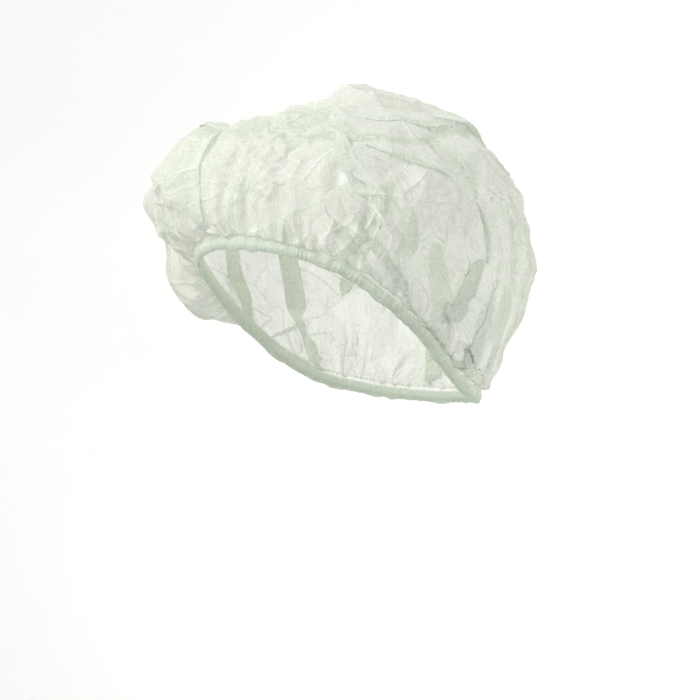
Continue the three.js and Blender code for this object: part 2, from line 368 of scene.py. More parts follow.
def gather_phase(azimuth):
    """Waves of uneven width."""
    uneven = 1.0 * np.sin(5 * azimuth + 0.4) + 0.7 * np.sin(11 * azimuth + 2.0)
    uneven += 0.45 * np.sin(23 * azimuth + 1.0) + 0.25 * np.sin(37 * azimuth + 5.0)
    return GATHERS * azimuth + uneven


def gather_wave(phase):
    """Round crests and sharp valleys."""
    return 1 - 2 * np.abs(np.sin(phase / 2)) ** 1.4


def gather_height(azimuth, above):
    """How far the gathers stand out at a length of cloth above the hem, in metres."""
    phase = gather_phase(azimuth)
    strength = 0.75 + 0.25 * np.sin(13 * azimuth + 1) + 0.2 * np.sin(29 * azimuth)
    reach = 0.030 + 0.012 * np.sin(7 * azimuth + 3) + 0.010 * np.sin(19 * azimuth)
    short = GATHER_DEPTH * strength * gather_wave(phase) * (1 - smooth(0.3, 1, above / reach))
    short *= 0.35 + 0.65 * smooth(0, 0.010, above)
    far = 0.072 + 0.022 * np.sin(4 * azimuth + 5) + 0.016 * np.sin(10 * azimuth + 2)
    fade = smooth(0, 0.02, above) * (1 - smooth(0.25, 1, above / far))
    return short + LONG_GATHER_DEPTH * gather_wave(phase / 2 + 0.6) * fade


# %% The crown before it crumples
ROUGHNESS_OF_START = 0.0003
random = np.random.default_rng(11)


def start_shape():
    share = 1 - ring_share
    up = up_at(ring_azimuth, share)
    points, facing = swollen(ring_azimuth, up)
    above = share * cloth_length(ring_azimuth)
    free = smooth(0, 0.02, above)[:, None]
    out = unit(facing * free + rim_frame(ring_azimuth)[0] * (1 - free))
    height = gather_height(ring_azimuth, above)
    height += random.normal(0, ROUGHNESS_OF_START, len(height)) * free[:, 0]
    return points + out * height[:, None]


crown = new_object("crown_cloth", start_shape(), cloth_faces)

# %% Notes that the cloth carries
# Each point remembers where it lay on the smooth form, which way it faced there, and its place
# on the flat round, so that later steps can find it after it has crumpled.


def add_vectors(mesh, name, vectors):
    layer = mesh.attributes.new(name, "FLOAT_VECTOR", "POINT")
    layer.data.foreach_set("vector", vectors.ravel())


def add_values(mesh, name, values):
    mesh.attributes.new(name, "FLOAT", "POINT").data.foreach_set("value", values)


def read_vectors(mesh, name):
    values = np.empty(len(mesh.vertices) * 3)
    mesh.attributes[name].data.foreach_get("vector", values)
    return values.reshape(-1, 3)


def note_start(mesh):
    laid, facing = swollen(ring_azimuth, up_at(ring_azimuth, 1 - ring_share))
    add_vectors(mesh, "laid", laid)
    add_vectors(mesh, "facing", facing)
    flat = outward(ring_azimuth)[:, :2] * ring_share[:, None] * CLOTH_DIAMETER / 2
    corners = np.empty(len(mesh.loops), dtype=int)
    mesh.loops.foreach_get("vertex_index", corners)
    mesh.uv_layers.new(name="flat").data.foreach_set("uv", flat[corners].ravel())


note_start(crown.data)

# %% [markdown]
# ## Letting the cloth crumple
#
# Thin cloth that is pushed together buckles into creases that nobody could place by hand. The
# cloth is made to grow by a few hundredths while its edge is pinned to the hem, over a smooth
# former with room for a head. Little weight is used, because cloth this light stands up by
# itself. The former is thrown away afterwards.

# %% Simulation
GROWTH = 0.05
CLOTH_FRAMES = 24
MOST_MOVE = 0.010
SWELLING_TAKEN_OUT = 0.9
SWELLING_ROUNDS = 60


def make_former():
    bpy.ops.object.select_all(action="DESELECT")
    bpy.ops.mesh.primitive_uv_sphere_add(segments=48, ring_count=24, radius=1)
    former = bpy.context.object
    former.name = "former"
    former.scale = (OPENING_WIDTH / 2 - 0.008, OPENING_LENGTH / 2 - 0.010, CROWN_RISE - 0.006)
    former.location = (0, 0, FOREHEAD_HEIGHT - 0.014)
    bpy.ops.object.transform_apply(location=True, rotation=True, scale=True)
    former.modifiers.new("collision", "COLLISION")
    former.collision.thickness_outer = 0.002
    return former


def add_cloth(thing, pinned):
    group = thing.vertex_groups.new(name="pinned")
    group.add([int(i) for i in pinned], 1.0, "REPLACE")
    cloth = thing.modifiers.new("cloth", "CLOTH")
    settings = cloth.settings
    settings.quality = 8
    settings.time_scale = 2
    settings.mass = 0.1
    settings.tension_stiffness = settings.compression_stiffness = 60
    settings.shear_stiffness = 30
    settings.bending_stiffness = 0.3
    settings.tension_damping = settings.compression_damping = settings.shear_damping = 0.5
    settings.bending_damping = 0.1
    settings.air_damping = 0.5
    settings.vertex_group_mass = "pinned"
    settings.shrink_min = -GROWTH
    settings.effector_weights.gravity = 0.1
    cloth.collision_settings.distance_min = 0.001
    cloth.collision_settings.use_self_collision = True
    cloth.collision_settings.self_distance_min = 0.0008
    cloth.point_cache.frame_start = 1
    cloth.point_cache.frame_end = CLOTH_FRAMES
    return cloth


def coordinates(mesh):
    values = np.empty(len(mesh.vertices) * 3)
    mesh.vertices.foreach_get("co", values)
    return values.reshape(-1, 3)


def set_coordinates(mesh, points):
    mesh.vertices.foreach_set("co", np.asarray(points, dtype=float).ravel())
    mesh.update()


def crumple(thing, pinned):
    """Runs the cloth, keeps its last frame with no point moved too far, and removes it."""
    start = coordinates(thing.data)
    former = make_former()
    add_cloth(thing, pinned)
    for frame_number in range(1, CLOTH_FRAMES + 1):
        scene.frame_set(frame_number)
    settled = thing.evaluated_get(bpy.context.evaluated_depsgraph_get())
    move = coordinates(settled.data) - start
    length = np.linalg.norm(move, axis=1, keepdims=True)
    allowed = MOST_MOVE * smooth(-0.02, 0.12, 1 - ring_share)[:, None]
    move *= np.minimum(1, allowed / np.maximum(length, 1e-9))
    thing.modifiers.remove(thing.modifiers["cloth"])
    bpy.data.objects.remove(former)
    scene.frame_set(1)
    set_coordinates(thing.data, start + move)
    length *= 1000
    print("cloth moved, mm:", length.mean().round(2), "most", length.max().round(1))


def smoothed(mesh, values, rounds):
    """Averages a value over each point's neighbours, again and again."""
    ends = np.empty(len(mesh.edges) * 2, dtype=int)
    mesh.edges.foreach_get("vertices", ends)
    first, second = ends[::2], ends[1::2]
    count = np.bincount(ends, minlength=len(values))
    result = values.copy()
    for _ in range(rounds):
        total = np.zeros_like(result)
        for axis in range(values.shape[1]):
            total[:, axis] += np.bincount(first, result[second, axis], minlength=len(values))
            total[:, axis] += np.bincount(second, result[first, axis], minlength=len(values))
        result = 0.5 * result + 0.5 * total / count[:, None]
    return result


def let_down(mesh):
    """Takes out the swelling of the whole cloth, and leaves its crumples."""
    laid = read_vectors(mesh, "laid")
    crumples = coordinates(mesh) - laid
    swelling = smoothed(mesh, crumples, SWELLING_ROUNDS)
    fade = smooth(1, 0.93, ring_share)[:, None]
    set_coordinates(mesh, laid + crumples - SWELLING_TAKEN_OUT * fade * swelling)


crumple(crown, np.nonzero(ring_share == 1)[0])
let_down(crown.data)

# %% Finer cloth


def apply_all(thing):
    bpy.ops.object.select_all(action="DESELECT")
    thing.select_set(True)
    bpy.context.view_layer.objects.active = thing
    for modifier in list(thing.modifiers):
        bpy.ops.object.modifier_apply(modifier=modifier.name)


finer = crown.modifiers.new("finer", "SUBSURF")
finer.levels = finer.render_levels = 1
apply_all(crown)
print("crown:", len(crown.data.polygons), "faces")

# %% [markdown]
# ## Facets and corners
#
# A stiff thin cloth keeps flat patches with sharp edges between them, as crumpled paper does,
# and its outline is angular. A cell pattern gives that: each point is raised by the square of
# its distance to the nearest cell centre, so a patch turns flat and its edges stand up. A few
# corners of the outline are larger than that, and are drawn out or pushed in as cones.

# %% Corners and facets
# Azimuth, up, and in metres how wide the corner is and how far it stands out.
CORNERS = (
    (237, 0.955, 0.040, 0.0030),
    (315, 0.68, 0.024, 0.0075),
    (303, 0.505, 0.034, -0.0130),
    (306, 0.40, 0.018, 0.005),
    (294, 0.80, 0.036, -0.0060),
    (290, 0.26, 0.020, -0.0040),
    (287, 0.18, 0.036, 0.012),
    (140, 0.42, 0.060, 0.005),
    (135, 0.70, 0.030, 0.004),
    (137, 0.585, 0.012, -0.0015),
    (200, 0.40, 0.035, 0.004),
    (255, 0.50, 0.035, 0.004),
    (222, 0.68, 0.030, 0.003),
)
CELL_SIZE = 0.027
FACET_HEIGHT = 0.0031
# Azimuth, up, how far it reaches as a share of the opening's width, and how much calmer.
CALM_PLACES = ((20, 0.3, 0.5, 0.7), (60, 0.35, 0.45, 0.7), (100, 0.35, 0.35, 0.5))


def cell_centres(laid):
    """Points of the cloth picked at random, none too near to another."""
    centres = []
    for place in laid[random.permutation(len(laid))[:6000]]:
        if all((place - other) @ (place - other) > 0.75 * CELL_SIZE**2 for other in centres):
            centres.append(place)
    return centres


def cell_distances(laid):
    """How far each point is from the two nearest cell centres."""
    centres = cell_centres(laid)
    tree = KDTree(len(centres))
    for number, centre in enumerate(centres):
        tree.insert(centre, number)
    tree.balance()
    return np.array([[found[2] for found in tree.find_n(place, 2)] for place in laid])


def place_on_form(degrees, up):
    return seated(np.array([math.radians(degrees)]), np.array([up]))[0]


def above_rim(laid):
    azimuth = np.arctan2(laid[:, 0], -laid[:, 1])
    return np.linalg.norm(laid - form(azimuth, np.zeros_like(azimuth)), axis=1)


def facet(mesh):
    points, laid = coordinates(mesh), read_vectors(mesh, "laid")
    facing = unit(read_vectors(mesh, "facing"))
    nearest, second = cell_distances(laid).T
    strength = np.ones(len(points))
    for degrees, up, reach, calmer in CALM_PLACES:
        away = np.linalg.norm(laid - place_on_form(degrees, up), axis=1)
        strength *= 1 - calmer * np.exp(-((away / (reach * OPENING_WIDTH)) ** 2))
    height = FACET_HEIGHT * strength * ((2 * nearest / CELL_SIZE) ** 2 - 1)
    for degrees, up, reach, out in CORNERS:
        away = np.linalg.norm(laid - place_on_form(degrees, up), axis=1)
        height += out * np.maximum(0, 1 - away / reach)
    height *= smooth(HEM_HEIGHT, HEM_HEIGHT + 0.03, above_rim(laid))
    set_coordinates(mesh, points + facing * height[:, None])
    add_values(mesh, "ridge_away", second - nearest)
    add_values(mesh, "ridge_strength", strength)


facet(crown.data)

# %% [markdown]
# ## Pleats and creases
#
# Where the cloth has much to spare it laps over itself, and three layers let less light
# through, so each pleat shows as a pale blade with crisp edges. A pleat is made by sliding the
# points beside a line towards it and past it, with the layers held a little apart. A crease is
# a tuck too narrow for that: the points nearest to its line are raised.

# %% Where the pleats and creases run
# Each line is azimuth, up, azimuth, up. Pleats add how far their middle lies above the straight
# line, and their width, which is less than 0 if they lap the other way round.
PLEAT_WIDTH = 0.0115
PLEATS = (
    (29, 0.70, 43, 0.455, 0.0, 1.0),
    (59, 0.50, 54, 0.01, 0.0, 0.95),
    (61, 0.0, 93, 0.42, 0.04, -1.25),
    (78, 0.0, 103, 0.36, 0.0, -1.35),
    (337, 0.68, 346, 0.0, 0.03, -1.0),
    (86, 0.705, 98, 0.54, 0.0, 0.9),
    (98, 0.54, 94, 0.38, 0.0, 0.6),
    (350, 0.665, 24, 0.77, 0.0, -0.75),
    (23, 0.775, 43, 0.645, 0.0, 0.5),
    (43, 0.645, 82, 0.585, 0.0, 0.4),
    (108, 0.0, 118, 0.34, 0.02, 1.2),
    (130, 0.0, 142, 0.50, 0.0, 1.1),
    (160, 0.55, 172, 0.0, 0.0, -1.0),
    (185, 0.0, 196, 0.45, 0.02, 1.2),
    (205, 0.62, 222, 0.30, 0.0, 1.1),
    (232, 0.0, 240, 0.50, 0.0, -1.0),
    (255, 0.60, 262, 0.0, 0.0, 1.1),
    (275, 0.0, 292, 0.45, 0.0, 0.9),
    (298, 0.62, 312, 0.42, 0.0, -0.8),
    (120, 0.80, 150, 0.66, 0.0, 0.8),
    (230, 0.82, 262, 0.70, 0.0, -0.9),
)
CREASES = (
    (43, 0.455, 52, 0.37),
    (50, 0.42, 51, 0.235),
    (59, 0.495, 84, 0.53),
    (44, 0.485, 59, 0.50),
    (41, 0.44, 24, 0.195),
    (45, 0.44, 40, 0.325),
    (358, 0.435, 359, 0.06),
    (16, 0.295, 12, 0.055),
    (29, 0.395, 28, 0.12),
    (74, 0.115, 82, 0.255),
    (83, 0.405, 70, 0.04),
    (314, 0.375, 343, 0.52),
    (312, 0.375, 334, 0.335),
    (319, 0.29, 314, 0.18),
    (320, 0.62, 335, 0.60),
    (345, 0.60, 357, 0.605),
    (103, 0.44, 102, 0.20),
    (101, 0.57, 135, 0.485),
    (358, 0.66, 2, 0.395),
    (20, 0.48, 29, 0.64),
)
CREASE_FANS = 44
HIGH_CREASES = 46


def scattered_creases():
    """Fans of short creases that run up from the hem all round, and a few higher up."""
    lines = []
    for number in range(CREASE_FANS):
        azimuth = 360 * (number + random.uniform(0, 0.8)) / CREASE_FANS
        start = random.uniform(0.0, 0.03)
        for _ in range(3):
            length = random.uniform(0.08, 0.32)
            lines.append((azimuth, start, azimuth + random.uniform(-13, 13), start + length))
    for number in range(HIGH_CREASES):
        azimuth, start = random.uniform(0, 360), random.uniform(0.25, 0.9)
        turn = random.uniform(-24, 24)
        lines.append((azimuth, start, azimuth + turn, start + random.uniform(-0.18, 0.12)))
    return lines


# %% Following a line over the cloth
LINE_STEPS = 10


def line_on_form(azimuth, up, to_azimuth, to_up, bow=0.0):
    share = np.linspace(0, 1, LINE_STEPS + 1)
    azimuths = np.radians(azimuth + (to_azimuth - azimuth) * share)
    ups = up + (to_up - up) * share + bow * 4 * share * (1 - share)
    return swollen(azimuths, ups)[0]


def beside(line, laid, facing):
    """How far along the line each point lies, how far to its side, and which way that is."""
    nearest = np.full(len(laid), np.inf)
    along = np.zeros(len(laid))
    across = np.zeros_like(laid)
    side = np.zeros_like(laid)
    for step in range(len(line) - 1):
        run = line[step + 1] - line[step]
        share = np.clip((laid - line[step]) @ run / (run @ run), 0, 1)
        offset = laid - line[step] - share[:, None] * run
        distance = np.linalg.norm(offset, axis=1)
        better = distance < nearest
        nearest[better] = distance[better]
        along[better] = (step + share[better]) / LINE_STEPS
        across[better] = offset[better]
        side[better] = unit(np.cross(run, facing[better]))
    return along, (across * side).sum(1), side, nearest


# %% Lapping the pleats
LAP = 3.0
LAYER_GAP = 0.0008
LAPS_START = (HEM_HEIGHT + 0.001, HEM_HEIGHT + 0.009)
# Half of a lapped pleat, as a share of the spread over which its cloth slides.
LAPPED_SHARE = 0.67
# Each end fades over this share of the pleat, but not an end that starts lower than FROM_HEM.
PLEAT_ENDS = 0.1
FROM_HEM = 0.05
# Close beside the hem the pleat is drawn and not lapped, so it is made narrower by this much.
DRAWN_NARROWER = 0.8


def pleat_spread(reach, rise):
    """Narrow at the hem, widest above its middle, and pointed at its upper end."""
    share = 0.2 + 0.2 * (1 - rise) + 0.8 * np.sin(np.pi * rise**1.3) ** 0.8
    return reach / (2 * LAPPED_SHARE) * share


def lap_pleats(mesh):
    """Slides the cloth over itself, and notes where each pleat lies for its material."""
    points, laid = coordinates(mesh), read_vectors(mesh, "laid")
    facing = unit(read_vectors(mesh, "facing"))
    crumples = points - laid
    calm = smoothed(mesh, crumples, 40)
    turns = np.full(len(points), 9.0)
    strengths, drawn = np.zeros(len(points)), np.zeros(len(points))
    off_rim = smooth(*LAPS_START, above_rim(laid))
    for *ends, width in PLEATS:
        reach = abs(width) * PLEAT_WIDTH
        line = line_on_form(*ends)
        close = np.nonzero(np.linalg.norm(laid - line.mean(0), axis=1) < 0.09)[0]
        along, across, side, nearest = beside(line, laid[close], facing[close])
        rise = along if ends[1] < ends[3] else 1 - along
        turn = across / pleat_spread(reach, rise)
        shown = smooth(0, PLEAT_ENDS, 1 - rise)
        if min(ends[1], ends[3]) > FROM_HEM:
            shown *= smooth(0, PLEAT_ENDS, rise)
        inside = shown * off_rim[close]
        slide = -LAP * across * np.exp(-(turn**2)) * inside
        lift = -np.sign(width) * LAYER_GAP * turn * np.exp((1 - turn**2) / 2) * inside
        quiet = (np.exp(-((turn / 1.9) ** 4)) * inside)[:, None]
        crumples[close] += (calm[close] - crumples[close]) * quiet
        crumples[close] += side * slide[:, None] + facing[close] * lift[:, None]
        within = (np.abs(turn) < np.abs(turns[close])) & (nearest < 3 * reach)
        narrower = 1 + DRAWN_NARROWER * (1 - off_rim[close])
        turns[close[within]] = (turn * narrower)[within]
        strengths[close[within]] = shown[within]
        drawn[close[within]] = (shown * (1 - off_rim[close]))[within]
    set_coordinates(mesh, laid + crumples)
    add_values(mesh, "lap_turn", turns)
    add_values(mesh, "lap_strength", strengths)
    add_values(mesh, "lap_drawn", drawn)


lap_pleats(crown.data)

# %% Drawing the creases
CREASE_WIDTH = 0.0016
CREASE_HEIGHT = 0.0009


def draw_creases(mesh):
    """Raises the cloth along each line, and notes how far each point is from the nearest."""
    points, laid = coordinates(mesh), read_vectors(mesh, "laid")
    facing = unit(read_vectors(mesh, "facing"))
    aways, strengths = np.full(len(points), 0.01), np.zeros(len(points))
    lines = [(line, 1.0) for line in CREASES] + [(line, 0.75) for line in scattered_creases()]
    for ends, strength in lines:
        line = line_on_form(*ends)
        close = np.nonzero(np.linalg.norm(laid - line.mean(0), axis=1) < 0.06)[0]
        along, across, side, nearest = beside(line, laid[close], facing[close])
        fade = smooth(0, 0.12, along) * smooth(0, 0.4, 1 - along) * strength
        near = (nearest < 0.006) & (nearest < np.abs(aways[close]))
        aways[close[near]] = across[near]
        strengths[close[near]] = fade[near]
        crest = np.maximum(0, 1 - nearest / CREASE_WIDTH) * fade
        points[close] += facing[close] * (CREASE_HEIGHT * crest)[:, None]
    set_coordinates(mesh, points)
    add_values(mesh, "crease_away", aways)
    add_values(mesh, "crease_strength", strengths)


draw_creases(crown.data)

# %% [markdown]
# ## The hem
#
# The edge of the round is folded up inside over the elastic. The elastic draws the doubled
# cloth into fine uneven ruffles, and its lower edge waves. Each ruffle could be one folded
# strip, but a real hem is one band, so the band is a mesh that follows the rim, with its
# section bent round the elastic and the waves added to it.

# %% Hem
HEM_TURN = 0.0066
ELASTIC_DIAMETER = 0.0022
ELASTIC_SEAT = 0.0024
HEM_COLUMNS = 1280
TUCKS = 260
TUCK_DEPTH = 0.00045
SCALLOP = 0.0011
RUFFLE_OUT = 0.0002


def hem_section():
    """Places down the outside, round under the elastic and up the inside: out, up, and the
    share of the ruffles that the cloth keeps there."""
    roll = ELASTIC_DIAMETER / 2 + 0.0006
    outside = [(0.0005, HEM_HEIGHT + 0.0014, 1.0), (0.0005, HEM_HEIGHT + 0.0006, 1.0)]
    outside += [(0.0003, HEM_HEIGHT - 0.0007 * step, 1.0) for step in range(8)]
    under = []
    for step in range(9):
        turn = math.pi * step / 8
        out = -ELASTIC_SEAT + roll * math.cos(turn) * (1.25 if step < 4 else 1.0)
        under.append((out, ELASTIC_SEAT - 0.0004 - roll * math.sin(turn), 0.75))
    inner = -ELASTIC_SEAT - roll
    inside = [(inner, HEM_TURN - 0.0008 * step, 0.3) for step in range(5, -1, -1)]
    return outside + under + inside


def ruffled(azimuth, out, up, keep):
    """One place of the hem's section, all round the rim."""
    frame_out, frame_up = rim_frame(azimuth)
    rim = form(azimuth, np.zeros_like(azimuth))
    wave = gather_height(azimuth, np.zeros_like(azimuth))
    lower = 1 - smooth(0, HEM_HEIGHT, up)
    middle = 4 * up / HEM_HEIGHT * (1 - up / HEM_HEIGHT)
    flare = 0.5 + 0.5 * np.sin(31 * azimuth + 1.7 * np.sin(9 * azimuth))
    flare = flare * (0.5 + 0.5 * np.sin(14 * azimuth + 2))
    uneven = 2.2 * np.sin(17 * azimuth) + 1.5 * np.sin(41 * azimuth + 1)
    depth = (0.6 + 0.4 * np.sin(23 * azimuth)) * (0.7 + 0.3 * np.sin(57 * azimuth + 1))
    fine = TUCK_DEPTH * depth * gather_wave(TUCKS * azimuth + uneven)
    out_wave = keep * wave * (1 - 0.7 * lower) + keep * fine * (0.45 + 0.55 * lower)
    out_wave += keep**2 * (RUFFLE_OUT * (lower + middle) + 0.0005 * flare * lower)
    up_wave = -SCALLOP * lower * flare + 0.35 * keep * wave * lower - 0.4 * fine * lower
    place = rim + frame_out * (out + out_wave)[:, None]
    return place + frame_up * (up + up_wave)[:, None]


hem_turns = np.arange(HEM_COLUMNS) * 2 * np.pi / HEM_COLUMNS
hem_rows = [
    ruffled(hem_turns, np.full(HEM_COLUMNS, out), np.full(HEM_COLUMNS, up), keep)
    for out, up, keep in hem_section()
]
hem_faces = [face[::-1] for face in ring_faces(len(hem_rows), HEM_COLUMNS)]
hem = new_object("hem_band", np.concatenate(hem_rows), hem_faces)
CLOTH_PER_HEM = math.pi * CLOTH_DIAMETER / HEM_COLUMNS


def hem_corner_places():
    """Each face's four corners on the flat band, in metres, so that the seam is not smeared."""
    section_line = np.array(hem_section())[:, :2]
    steps = np.linalg.norm(np.diff(section_line, axis=0), axis=1)
    across = np.append(0, steps.cumsum())
    places = np.empty((len(hem_rows) - 1, HEM_COLUMNS, 4, 2))
    column = np.arange(HEM_COLUMNS) * CLOTH_PER_HEM
    places[..., (0, 3), 0] = column[None, :, None]
    places[..., (1, 2), 0] = column[None, :, None] + CLOTH_PER_HEM
    places[..., (2, 3), 1] = across[:-1, None, None]
    places[..., (0, 1), 1] = across[1:, None, None]
    return places.ravel()


hem.data.uv_layers.new(name="flat").data.foreach_set("uv", hem_corner_places())
print("hem:", len(hem.data.polygons), "faces")

# %% [markdown]
# ## The elastic
#
# The elastic is a thin covered cord that runs round inside the hem. It is a closed curve with
# a round section, turned into a mesh, so that its length can be read off the same points.

# %% Elastic
ELASTIC_POINTS = 240


def elastic_path():
    turns = np.arange(ELASTIC_POINTS) * 2 * np.pi / ELASTIC_POINTS
    frame_out, frame_up = rim_frame(turns)
    return form(turns, np.zeros_like(turns)) + (frame_up - frame_out) * ELASTIC_SEAT


def make_elastic():
    path = elastic_path()
    curve = bpy.data.curves.new("elastic", "CURVE")
    curve.dimensions = "3D"
    curve.bevel_depth = ELASTIC_DIAMETER / 2
    curve.bevel_resolution = 3
    spline = curve.splines.new("POLY")
    spline.points.add(len(path) - 1)
    spline.points.foreach_set("co", np.c_[path, np.ones(len(path))].ravel())
    spline.use_cyclic_u = True
    cord = bpy.data.objects.new("elastic_ring", curve)
    scene.collection.objects.link(cord)
    bpy.ops.object.select_all(action="DESELECT")
    cord.select_set(True)
    bpy.context.view_layer.objects.active = cord
    bpy.ops.object.convert(target="MESH")
    bpy.ops.object.shade_smooth()
    length = np.linalg.norm(path - np.roll(path, 1, axis=0), axis=1).sum()
    print("elastic, worn length in metres:", length.round(3))
    return cord


elastic = make_elastic()

# %% [markdown]
# ## The materials
#
# The cloth is a felt of fine fibres, so what shows from arm's length is a mottled pattern of
# streaks in every direction, more see-through where the fibres are few. That pattern is not
# painted on as a picture: three noises, each stretched along a direction of its own on the flat
# round, are laid over each other. They decide how much of the light passes straight through.

# %% A socket that takes part in sums


class Socket:
    """An output of a shader node, so that sums of sockets read as sums."""

    def __init__(self, tree, output):
        self.tree = tree
        self.output = output

    def node(self, kind, inputs, output=0, **settings):
        """Adds a node of any kind, fills its inputs, and gives one of its outputs."""
        node = self.tree.nodes.new("ShaderNode" + kind)
        for name, value in settings.items():
            setattr(node, name, value)
        for name, value in inputs.items():
            if isinstance(value, Socket):
                self.tree.links.new(value.output, node.inputs[name])
            else:
                node.inputs[name].default_value = value
        return Socket(self.tree, node.outputs[output])

    def sum(self, operation, *values, clamp=False):
        inputs = dict(enumerate(values))
        return self.node("Math", inputs, operation=operation, use_clamp=clamp)

    def __add__(self, other):
        return self.sum("ADD", self, other)

    def __sub__(self, other):
        return self.sum("SUBTRACT", self, other)

    def __rsub__(self, other):
        return self.sum("SUBTRACT", other, self)

    def __mul__(self, other):
        return self.sum("MULTIPLY", self, other)

    def __truediv__(self, other):
        return self.sum("DIVIDE", self, other)

    def __pow__(self, other):
        return self.sum("POWER", self, other)

    __radd__ = __add__
    __rmul__ = __mul__

    def kept(self):
        """The value, kept between 0 and 1."""
        return self.sum("ADD", self, 0.0, clamp=True)

    def between(self, low, high):
        """0 at low, 1 at high, smooth in between."""
        inputs = {"Value": self, "From Min": low, "From Max": high}
        return self.node("MapRange", inputs, interpolation_type="SMOOTHSTEP")

    def larger(self, other):
        return self.sum("MAXIMUM", self, other)

    def vector(self, operation, *values):
        return self.node("VectorMath", dict(enumerate(values)), operation=operation)

    def mixed(self, first, second):
        """Goes from one colour to the other as this value goes from 0 to 1."""
        return self.node("Mix", {0: self, 6: first, 7: second}, output=2, data_type="RGBA")

    def bump(self, height, strength, distance):
        return self.node("Bump", {"Height": height, "Strength": strength, "Distance": distance})


def new_material(name):
    """A material with no nodes but its output, and a socket to start from."""
    material = bpy.data.materials.new(name)
    material.use_nodes = True
    tree = material.node_tree
    tree.nodes.clear()
    output = tree.nodes.new("ShaderNodeOutputMaterial")
    return material, Socket(tree, None), output


def finish_material(shader, output):
    shader.tree.links.new(shader.output, output.inputs["Surface"])


# %% Patterns of the cloth
FIBRE_DIRECTIONS = (12, 74, 131)
FIBRE_SCALE = (300.0, 950.0, 1.0)


def noise(start, place, scale, detail=2.0, roughness=0.5, distortion=0.0):
    inputs = {"Vector": place, "Scale": scale, "Detail": detail, "Roughness": roughness}
    inputs["Distortion"] = distortion
    return start.node("TexNoise", inputs, output="Fac")


def fibre_pattern(start, flat):
    """Streaks in three directions: 1 on a fibre bundle, 0 in a gap."""
    pattern = None
    for number, degrees in enumerate(FIBRE_DIRECTIONS):
        inputs = {"Vector": flat, "Angle": math.radians(degrees)}
        turned = start.node("VectorRotate", inputs, rotation_type="Z_AXIS")
        shift = (7.0 * number, 0, 3.0 * number)
        place = start.vector("MULTIPLY_ADD", turned, FIBRE_SCALE, shift)
        streaks = noise(start, place, 1.0, detail=1.5, distortion=0.8)
        layer = (1 - start.sum("ABSOLUTE", streaks - 0.5) * 10).kept()
        pattern = layer if pattern is None else pattern.larger(layer)
    return pattern


def crease_network(start, flat, cells, width, low, high):
    """Thin straight lines between the cells of a random pattern, some of them left out."""
    inputs = {"Vector": flat, "Scale": cells}
    edge = start.node("TexVoronoi", inputs, output="Distance", feature="DISTANCE_TO_EDGE")
    line = 1 - edge.between(0.0, width * cells)
    return line * noise(start, flat, cells * 0.7).between(low, high)


def gather_lines(start, flat):
    """Fine lines that run up from the hem, strongest beside it."""
    split = start.node("SeparateXYZ", {"Vector": flat})
    node = split.output.node
    across, along = Socket(start.tree, node.outputs[0]), Socket(start.tree, node.outputs[1])
    turn = start.sum("ARCTAN2", along, across)
    radius = start.node("VectorMath", {0: flat}, output="Value", operation="LENGTH")
    place = start.node("CombineXYZ", {"X": turn * 62.0, "Y": radius * 22.0})
    lines = noise(start, place, 1.0, detail=1.0).between(0.56, 0.68)
    return lines * radius.between(0.62 * CLOTH_DIAMETER / 2, 0.97 * CLOTH_DIAMETER / 2)


def attribute(start, name):
    return start.node("Attribute", {}, output="Fac", attribute_name=name)


def drawn_creases(start):
    away = start.sum("ABSOLUTE", attribute(start, "crease_away"))
    return (1 - away.between(0.0003, 0.0009)) * attribute(start, "crease_strength")


def ridges(start):
    line = 1 - attribute(start, "ridge_away").between(0.0004, 0.002)
    return line * attribute(start, "ridge_strength")


def laps(start):
    """Where three layers lie on each other, and the two folded edges of such a pleat."""
    turn = start.sum("ABSOLUTE", attribute(start, "lap_turn"))
    strength = attribute(start, "lap_strength")
    edge = 1 - start.sum("ABSOLUTE", turn - 0.52).between(0.03, 0.12)
    return (1 - turn.between(1.0, 1.25)) * strength, edge * strength


# %% Cloth of one layer
CLOTH_THIN = (0.885, 0.895, 0.79, 1)
CLOTH_DENSE = (0.835, 0.90, 0.79, 1)
CLOTH_LAPPED = (0.90, 0.945, 0.865, 1)
# A near-white used as a painted highlight along crease ridges, gather crests, pleat edges and
# the hem's tucks.
CLOTH_PAINTED_HIGHLIGHT = (0.96, 0.975, 0.92, 1)


def cloth_shader(start, colour, opacity, roughness, normal, glowing=0.3):
    """Part of the light is reflected, part glows through, and part passes between fibres."""
    surface = start.node(
        "BsdfPrincipled",
        {
            "Base Color": colour,
            "Roughness": roughness,
            "Normal": normal,
            "Specular IOR Level": 0.25,
            "Sheen Weight": 0.15,
            "Sheen Roughness": 0.5,
        },
    )
    glow = start.node("BsdfTranslucent", {"Color": colour, "Normal": normal})
    gap = start.node("BsdfTransparent", {"Color": (1, 1, 1, 1)})
    solid = start.node("MixShader", {0: glowing, 1: surface, 2: glow})
    return start.node("MixShader", {0: opacity, 1: gap, 2: solid})


